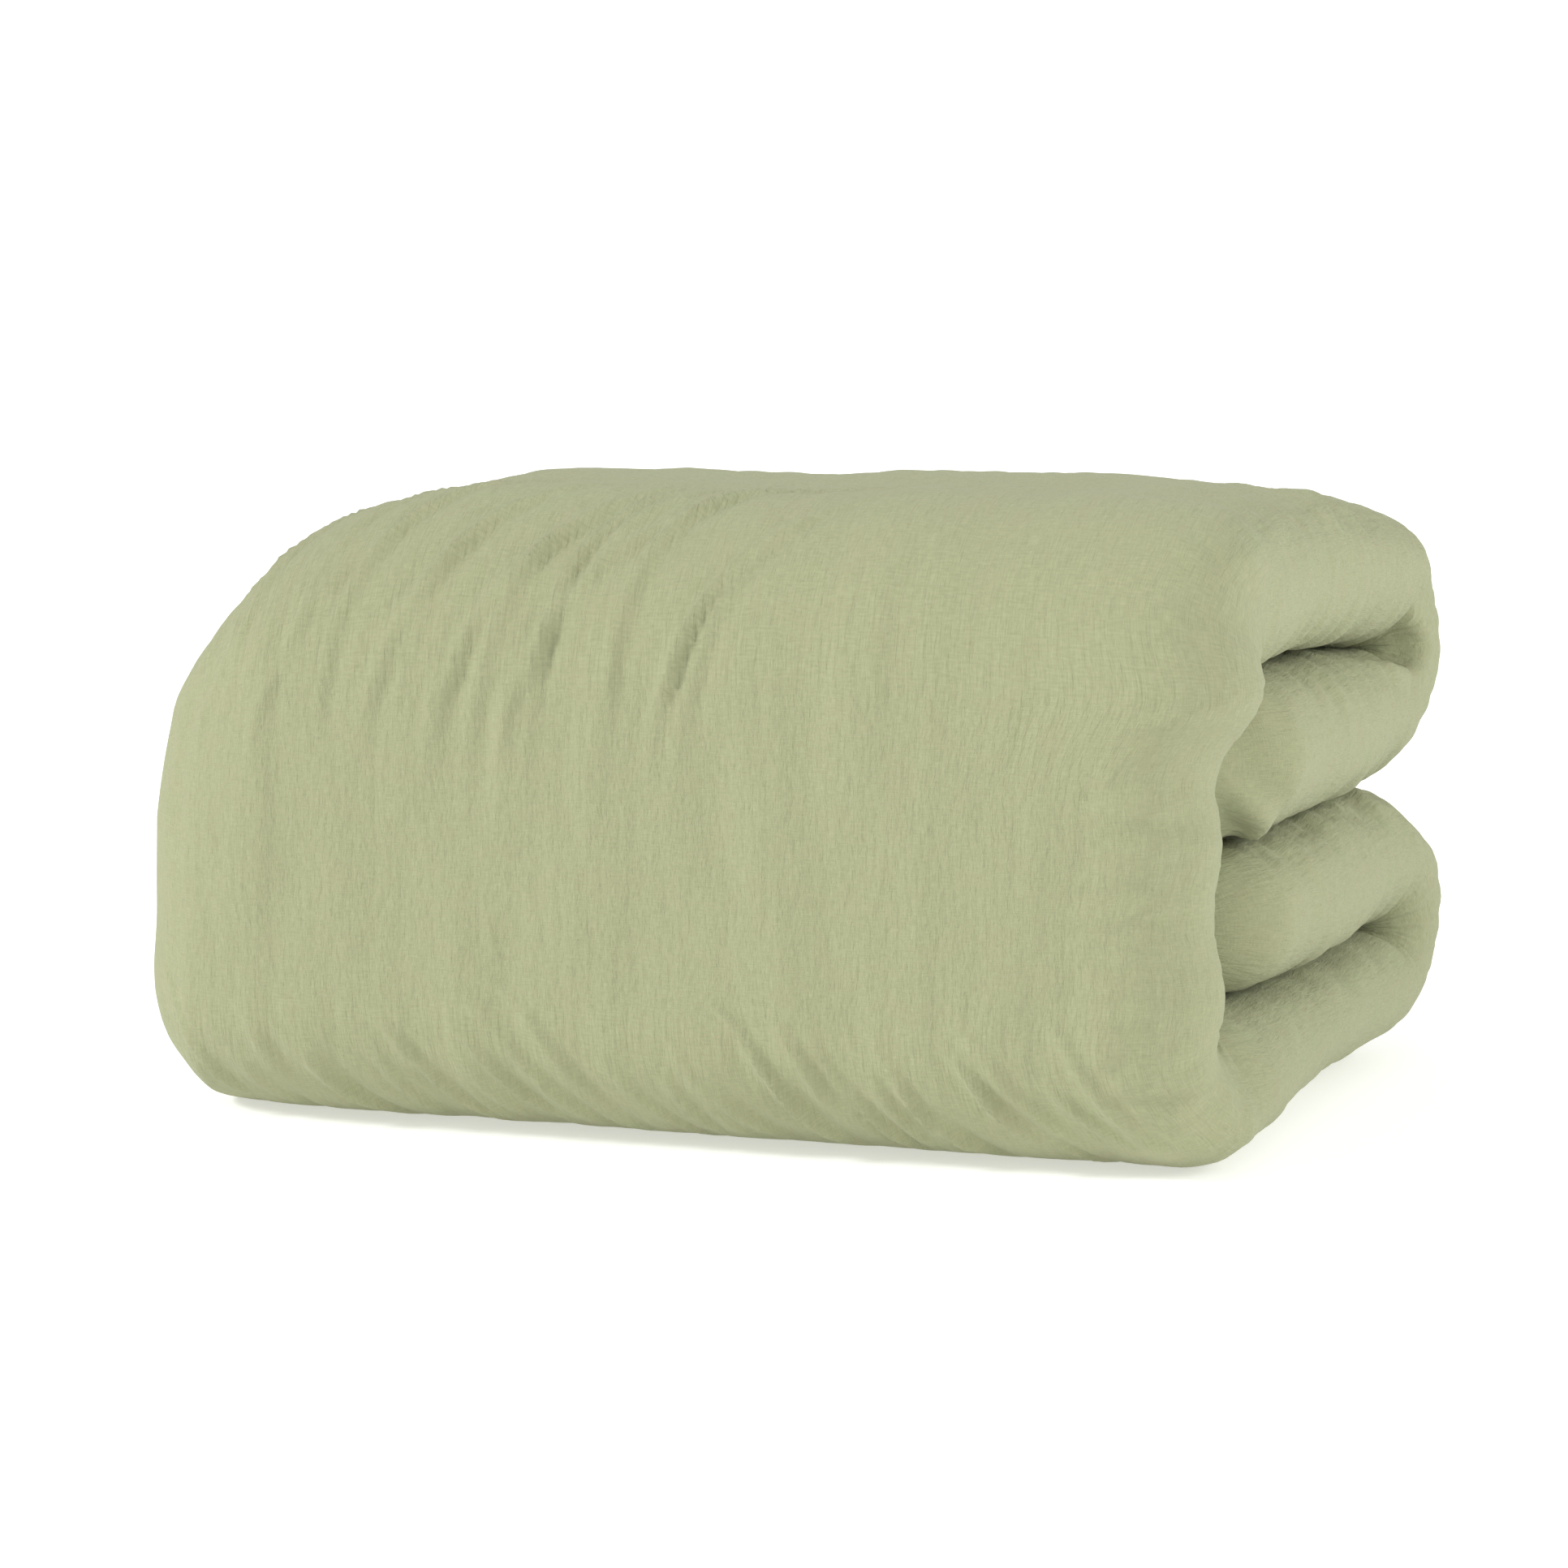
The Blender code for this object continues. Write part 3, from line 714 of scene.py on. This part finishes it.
def build_closures(materials):
    """Head seam, button band, buttonhole band, buttons and ties."""
    seam_q, lap_q, band_q = 0.0019, 0.0002, 0.0027      # outward distances from the ply's middle
    sewing_inset, tuck_in = 0.003, 0.0003
    head = fold_band("head_seam_felled", HEAD_Y - tuck_in, HEAD_Y - SEAM_WIDTH,
                     PLY_MIDDLE - seam_q, PLY_MIDDLE + seam_q, HEAD_LAYER_Z, -1, materials["hem"])
    inner = fold_band("button_band_cloth", FOOT_Y - tuck_in, FOOT_Y - BAND_WIDTH,
                      PLY_MIDDLE - band_q, PLY_MIDDLE - lap_q, FOOT_LAYER_Z, 1, materials["hem"])
    outer = fold_band("buttonhole_band_cloth", FOOT_Y - tuck_in, FOOT_Y - BAND_WIDTH,
                      PLY_MIDDLE + lap_q, PLY_MIDDLE + band_q, FOOT_LAYER_Z, 1, materials["hem"])
    for piece, node, body in ((head, "head_seam", "upper_half"),
                              (inner, "button_band", "lower_half"),
                              (outer, "buttonhole_band", "lower_half")):
        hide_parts(node)
        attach(piece, body)
    stitches("head_stitches", HEAD_Y - sewing_inset, PLY_MIDDLE + seam_q, HEAD_LAYER_Z, -1,
             "upper_half", materials["thread"])
    for k, inset in enumerate((sewing_inset, BAND_WIDTH - sewing_inset)):
        stitches("band_stitches_%d" % (k + 1), FOOT_Y - inset, PLY_MIDDLE + band_q,
                 FOOT_LAYER_Z, 1, "lower_half", materials["thread"])
    for number, ply in enumerate((1, 1, 1, -1, -1, -1), start=1):
        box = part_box("button_%d" % number)
        centre_x = (box[0][0] + box[1][0]) / 2
        seat = placed(np.array([centre_x]), FOOT_Y - BAND_WIDTH / 2,
                      np.array([PLY_MIDDLE + BUTTON_SEAT]) * ply, FOOT_LAYER_Z, 1)[0]
        button = build_button("wood_button_%d" % number, seat, ply, materials["button"])
        thread = build_button_thread("button_thread_%d" % number, seat, ply, materials["thread"])
        thread.parent = button
        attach(button, "lower_half")
        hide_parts("button_%d" % number)
    for end, layer_z, side, y, body in (("head", HEAD_LAYER_Z, -1, HEAD_Y, "upper_half"),
                                        ("foot", FOOT_LAYER_Z, 1, FOOT_Y, "lower_half")):
        for letter, ply in (("a", 1), ("b", -1)):
            tie = build_tie("tie_tape_%s_%s" % (end, letter), layer_z, side, ply, y,
                            materials["tape"])
            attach(tie, body)
            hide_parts("corner_tie_%s_%s" % (end, letter))


def button_top(x, y, radius):
    """Height of the button's dished upper face, with its four holes."""
    height = BUTTON_HEIGHT - BUTTON_DISH * (1 - float(smooth(0.0052, 0.0068, np.array(radius))))
    edge = max(0.0, (radius - BUTTON_RIM) / BUTTON_ROUNDING)
    height -= 0.0008 * edge * edge
    for side_x, side_y in ((1, 1), (1, -1), (-1, 1), (-1, -1)):
        away = math.hypot(x - side_x * BUTTON_HOLE_OFFSET, y - side_y * BUTTON_HOLE_OFFSET)
        height -= BUTTON_HOLE_DEPTH * float(1 - smooth(0.0006, 0.0010, np.array(away)))
    return height


def button_bottom(radius):
    edge = max(0.0, (radius - BUTTON_RIM) / BUTTON_ROUNDING)
    return 0.0005 * edge * edge


def build_button(name, seat, ply, material):
    """A turned button with a raised rim, a dished face and four holes."""
    radii = np.concatenate([np.linspace(0.0, 0.0034, 12), np.linspace(0.0038, BUTTON_RADIUS, 12)])
    points, faces = [], []
    for top in (True, False):
        for radius in radii:
            for k in range(BUTTON_SIDES):
                angle = 2 * math.pi * k / BUTTON_SIDES
                x, y = radius * math.cos(angle), radius * math.sin(angle)
                height = button_top(x, y, radius) if top else button_bottom(radius)
                points.append(np.array([seat[0] + x, seat[1] + y, seat[2] + ply * height]))
    count = len(radii)

    def strip(inner_ring, outer_ring):
        a, b = inner_ring * BUTTON_SIDES, outer_ring * BUTTON_SIDES
        for k in range(BUTTON_SIDES):
            after = (k + 1) % BUTTON_SIDES
            faces.append((a + k, a + after, b + after, b + k))

    for face in (0, 1):
        for i in range(count - 1):
            strip(face * count + i, face * count + i + 1)
    strip(count - 1, 2 * count - 1)
    return mesh_piece(name, points, faces, material)


def build_button_thread(name, seat, ply, material):
    """Two short crossed stitches through the button's holes."""
    steps, sides, half_length, thickness = 8, 6, 0.0020, 0.00042
    points, faces = [], []
    for turn, raised in ((0.25, 0.0), (0.75, 0.0003)):
        angle = turn * math.pi
        direction = np.array([math.cos(angle), math.sin(angle), 0.0])
        across = np.array([-direction[1], direction[0], 0.0])
        start = len(points)
        for i in range(steps + 1):
            t = 2 * i / steps - 1
            lift = BUTTON_HEIGHT - 0.0004 - 0.0012 * t ** 6 + raised
            centre = seat + direction * half_length * t + np.array([0, 0, ply * lift])
            for k in range(sides):
                ring = 2 * math.pi * k / sides
                offset = across * math.cos(ring) + np.array([0, 0, 1.0]) * math.sin(ring)
                points.append(centre + offset * thickness)
        numbers = start + np.arange((steps + 1) * sides).reshape(-1, sides)
        for a, b in zip(numbers[:-1], numbers[1:]):
            for k in range(sides):
                after = (k + 1) % sides
                faces.append(tuple(int(v) for v in (a[k], a[after], b[after], b[k])))
        for end in (numbers[0], numbers[-1]):
            faces.append(tuple(int(v) for v in end))
    return mesh_piece(name, points, faces, material)


def build_tie(name, layer_z, side, ply, y, material):
    """A short doubled tape from the cover's corner to the insert's loop, gathered midway."""
    rings = []
    for k in range(9):
        t = k / 8
        half_x = 0.0045 * (1 - 0.45 * math.exp(-((t - 0.5) / 0.16) ** 2))
        half_n = 0.0006 + 0.0008 * math.exp(-((t - 0.5) / 0.14) ** 2)
        angles = np.linspace(0, 2 * math.pi, ROUND_STEPS + 1)[:-1]
        x = LEFT_X + 0.060 + half_x * np.cos(angles)
        n = ply * PLY_MIDDLE + half_n * np.sin(angles)
        rings.append(placed(x, y + 0.0005 + 0.011 * t, n, layer_z, side))
    return ring_piece(name, np.array(rings), material)


def build_label(material, skin_at):
    """A blank woven label, with thicker rims, lying on the cover."""
    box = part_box("care_label")
    columns, rows = 23, 16
    rim_width, width, height = 1.3, 45, 30       # millimetres
    points, faces = [], []
    for top in (False, True):
        for i in range(rows):
            for j in range(columns):
                u, v = j / (columns - 1), i / (rows - 1)
                x = box[0][0] + (box[1][0] - box[0][0]) * u
                y = box[0][1] + (box[1][1] - box[0][1]) * v
                rim = min(u, 1 - u) * width < rim_width or min(v, 1 - v) * height < rim_width
                lift = 0.0004 + (0.0007 if top else 0.0) + (0.0002 if rim and top else 0)
                lift += 0.0006 * math.sin(u * 5 + v * 3) ** 2
                points.append(skin_at(x, y) + np.array([0, 0, lift]))
    size = rows * columns
    for layer in (0, 1):
        for i in range(rows - 1):
            for j in range(columns - 1):
                a = layer * size + i * columns + j
                faces.append((a, a + 1, a + columns + 1, a + columns))
    border = [j for j in range(columns)] + [i * columns + columns - 1 for i in range(1, rows)]
    border += [(rows - 1) * columns + j for j in range(columns - 2, -1, -1)]
    border += [i * columns for i in range(rows - 2, 0, -1)]
    for a, b in zip(border, border[1:] + border[:1]):
        faces.append((a, b, b + size, a + size))
    label = mesh_piece("blank_label", points, faces, material)
    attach(label, "lower_half")
    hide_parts("care_label")


# ---- materials -----------------------------------------------------------------------------
class Nodes:
    """A small helper that adds and links shader nodes."""

    def __init__(self, name):
        self.material = bpy.data.materials.new(name)
        self.material.use_nodes = True
        self.tree = self.material.node_tree
        self.shader = self.tree.nodes["Principled BSDF"]

    def set(self, **values):
        """Plain values on the shader's own sockets."""
        for key, value in values.items():
            self.shader.inputs[key.replace("_", " ")].default_value = value

    def join(self, value, socket):
        """Link a socket to another, or put a plain value on it."""
        if hasattr(value, "links"):
            self.tree.links.new(value, socket)
        else:
            socket.default_value = value

    def add(self, kind, **inputs):
        """A new node; inputs go by name, or by number after an underscore."""
        node = self.tree.nodes.new(kind)
        for key, value in inputs.items():
            self.join(value, node.inputs[int(key[1:]) if key[0] == "_" else key])
        return node

    def math(self, operation, a, b):
        node = self.add("ShaderNodeMath", _0=a, _1=b)
        node.operation = operation
        return node.outputs[0]

    def total(self, *terms):
        """The sum of sockets, each with its own weight."""
        parts = [self.math("MULTIPLY", socket, weight) for socket, weight in terms]
        total = parts[0]
        for part in parts[1:]:
            total = self.math("ADD", total, part)
        return total

    def place(self, output):
        return self.tree.nodes.new("ShaderNodeTexCoord").outputs[output]

    def noise(self, vector, scale, detail=2.0, roughness=0.5):
        """Noise of one scale, or of three along the axes."""
        if isinstance(scale, tuple):
            mapping = self.add("ShaderNodeMapping", Vector=vector, Scale=scale)
            vector, scale = mapping.outputs["Vector"], 1.0
        node = self.add("ShaderNodeTexNoise", Vector=vector, Scale=scale, Detail=detail,
                        Roughness=roughness)
        return node.outputs["Fac"]

    def span(self, value, low, high, to_low=0.0, to_high=1.0):
        node = self.add("ShaderNodeMapRange", _0=value, _1=low, _2=high, _3=to_low, _4=to_high)
        return node.outputs[0]

    def mix(self, factor, first, second):
        node = self.tree.nodes.new("ShaderNodeMix")
        node.data_type = "RGBA"
        for index, value in ((0, factor), (6, first), (7, second)):     # the colour sockets
            self.join(value, node.inputs[index])
        return node.outputs[2]

    def finish(self, colour, height):
        """Give the shader its colour and a relief in metres."""
        self.join(colour, self.shader.inputs["Base Color"])
        relief = self.add("ShaderNodeBump", Height=height, Strength=1.0, Distance=1.0)
        self.join(relief.outputs["Normal"], self.shader.inputs["Normal"])
        return self.material


def gauze(name, base, dark, tan):
    """Washed cotton gauze: plain weave, slubs both ways, mottled dye, soft crinkle."""
    nodes = Nodes(name)
    uv = nodes.tree.nodes.new("ShaderNodeUVMap")
    uv.uv_map = "Cloth"
    place = uv.outputs["UV"]
    threads = nodes.math("ADD", nodes.noise(place, (1700, 160, 1)),
                         nodes.noise(place, (160, 1700, 1)))
    slubs = nodes.math("ADD", nodes.noise(place, (800, 22, 1)), nodes.noise(place, (22, 800, 1)))
    grain = nodes.noise(place, 900.0)
    patches = nodes.noise(place, 48.0, 4.0, 0.6)
    crinkle = nodes.noise(place, (210, 60, 1), 4.0, 0.62)
    tone = nodes.total((nodes.total((threads, 0.80), (slubs, 0.20)), 0.8), (grain, 0.2))
    colour = nodes.mix(nodes.span(tone, 0.60, 1.08), dark, base)
    fleck = nodes.math("MULTIPLY", nodes.span(patches, 0.40, 0.66), nodes.span(grain, 0.42, 0.62))
    colour = nodes.mix(nodes.math("MULTIPLY", fleck, 0.50), colour, tan)
    nodes.join(nodes.span(tone, 0.6, 1.2, 0.86, 0.97), nodes.shader.inputs["Roughness"])
    nodes.set(Sheen_Weight=0.10, Sheen_Roughness=0.6, Specular_IOR_Level=0.05)
    return nodes.finish(colour, nodes.total((threads, 0.00016), (slubs, 0.00009),
                                            (crinkle, 0.0017), (grain, 0.00015)))


def sewn_cloth(name, light, dark, across=1100.0):
    """A plain tight weave for hems, tape and label, placed by the object's own coordinates."""
    nodes = Nodes(name)
    place = nodes.place("Object")
    threads = nodes.math("ADD", nodes.noise(place, (across, 90, 90)),
                         nodes.noise(place, (90, across, 90)))
    nodes.set(Roughness=0.92, Sheen_Weight=0.2)
    return nodes.finish(nodes.mix(nodes.span(threads, 0.7, 1.3), dark, light),
                        nodes.math("MULTIPLY", threads, 0.0003))


def turned_wood(name):
    """Pale oiled wood with fine grain, for the buttons."""
    nodes = Nodes(name)
    grain = nodes.noise(nodes.place("Object"), (60, 900, 400), 3.0)
    nodes.join(nodes.span(grain, 0.3, 0.7, 0.38, 0.55), nodes.shader.inputs["Roughness"])
    return nodes.finish(nodes.mix(grain, (0.30, 0.19, 0.10, 1), (0.52, 0.37, 0.22, 1)),
                        nodes.math("MULTIPLY", grain, 0.0002))


# ---- the studio ----------------------------------------------------------------------------
def aim_at(thing, place, target):
    direction = Vector(target) - Vector(place)
    thing.location = place
    thing.rotation_euler = direction.to_track_quat("-Z", "Y").to_euler()


def build_camera():
    azimuth, elevation = math.radians(CAMERA_AZIMUTH), math.radians(CAMERA_ELEVATION)
    back = (math.sin(azimuth) * math.cos(elevation), -math.cos(azimuth) * math.cos(elevation),
            math.sin(elevation))
    place = [CAMERA_AIM[k] + CAMERA_DISTANCE * back[k] for k in range(3)]
    data = bpy.data.cameras.new("camera")
    data.lens = CAMERA_LENS
    data.sensor_width = 36.0
    data.clip_end = 50
    camera = link_object("camera", data)
    aim_at(camera, place, CAMERA_AIM)
    bpy.context.scene.camera = camera


def build_floor():
    """A white floor that runs past the picture's edges."""
    bpy.ops.mesh.primitive_plane_add(size=400.0, location=(0, 0, 0))
    floor = bpy.context.object
    floor.name = "floor"
    nodes = Nodes("floor_paint")
    nodes.set(Base_Color=(0.80, 0.80, 0.80, 1), Emission_Color=(1.0, 1.0, 1.0, 1),
              Emission_Strength=0.45, Roughness=0.9, Specular_IOR_Level=0.0)
    floor.data.materials.append(nodes.material)


def sun(name, place, strength, spread):
    """A very large, soft, distant lamp."""
    light = bpy.data.lights.new(name, "SUN")
    light.energy = strength
    light.angle = math.radians(spread)
    aim_at(link_object(name, light), place, (0, 0, 0))


def build_lights():
    """White walls with a dimmer ceiling and a brighter wall on the right, and two lamps."""
    bpy.context.scene.view_settings.view_transform = "Standard"
    world = bpy.data.worlds.new("studio")
    bpy.context.scene.world = world
    world.use_nodes = True
    tree = world.node_tree
    background = tree.nodes["Background"]
    background.inputs["Color"].default_value = (1.0, 1.0, 1.0, 1)
    direction = tree.nodes.new("ShaderNodeTexCoord")
    parts = tree.nodes.new("ShaderNodeSeparateXYZ")
    tree.links.new(direction.outputs["Generated"], parts.inputs[0])
    total = tree.nodes.new("ShaderNodeMath")
    for index, (axis, limits) in enumerate((("Z", (0.06, 0.35, 1.15, 0.42)),
                                            ("X", (-0.2, 0.5, 0.0, 0.42)))):
        ramp = tree.nodes.new("ShaderNodeMapRange")
        tree.links.new(parts.outputs[axis], ramp.inputs["Value"])
        for key, value in zip(("From Min", "From Max", "To Min", "To Max"), limits):
            ramp.inputs[key].default_value = value
        tree.links.new(ramp.outputs[0], total.inputs[index])
    tree.links.new(total.outputs[0], background.inputs["Strength"])
    sun("key", (-2.8, -1.9, 2.2), 2.20, 14)
    sun("right", (3.0, 0.4, 1.7), 0.95, 30)


# ---- put together --------------------------------------------------------------------------
def stands_for(piece, *stretches):
    names = [kind + stretch for stretch in stretches for kind in STRETCH_NODES]
    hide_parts(*names)


build_camera()
build_floor()
build_lights()
cover = gauze("washed_cotton", (0.362, 0.384, 0.226, 1), (0.278, 0.297, 0.168, 1),
              (0.370, 0.326, 0.207, 1))
whole = build_cover()
upper = skin_piece("upper_half_skin", "first", "upper", whole, cover)
front_upper = skin_piece("front_wrap_upper_skin", "upper", "middle", whole, cover)
front_lower = skin_piece("front_wrap_lower_skin", "middle", "lower", whole, cover)
lower = skin_piece("lower_half_skin", "lower", "last", whole, cover)

closure_materials = {
    "hem": sewn_cloth("hem_cloth", (0.355, 0.378, 0.222, 1), (0.270, 0.290, 0.160, 1)),
    "thread": sewn_cloth("sewing_thread", (0.40, 0.42, 0.27, 1), (0.33, 0.35, 0.21, 1)),
    "tape": sewn_cloth("cotton_tape", (0.80, 0.79, 0.74, 1), (0.66, 0.65, 0.60, 1)),
    "label": sewn_cloth("label_satin", (0.86, 0.86, 0.83, 1), (0.74, 0.74, 0.71, 1), 1600.0),
    "button": turned_wood("turned_wood"),
}
outer_top = [k for k, point in enumerate(whole.points) if point[0] == "out" and point[3] > 0]
third_layer_top = whole.places[whole.marks["third"]:, outer_top].reshape(-1, 3)


def skin_under(x, y):
    """The point of the third layer's upper surface nearest to x and y."""
    away = np.square(third_layer_top[:, 0] - x) + np.square(third_layer_top[:, 1] - y)
    return third_layer_top[np.argmin(away)]


build_closures(closure_materials)
build_label(closure_materials["label"], skin_under)

lower_hinge_z = hinge_place("lower_front_fold")[2]
upper_hinge_z = hinge_place("upper_front_fold")[2]
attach(upper, "upper_half")
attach(lower, "lower_half")
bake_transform(front_lower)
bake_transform(front_upper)
stands_for(upper, "upper_half")
stands_for(lower, "lower_half")
stands_for(front_upper, "upper_front_bend", "front_panel")
stands_for(front_lower, "lower_front_bend")
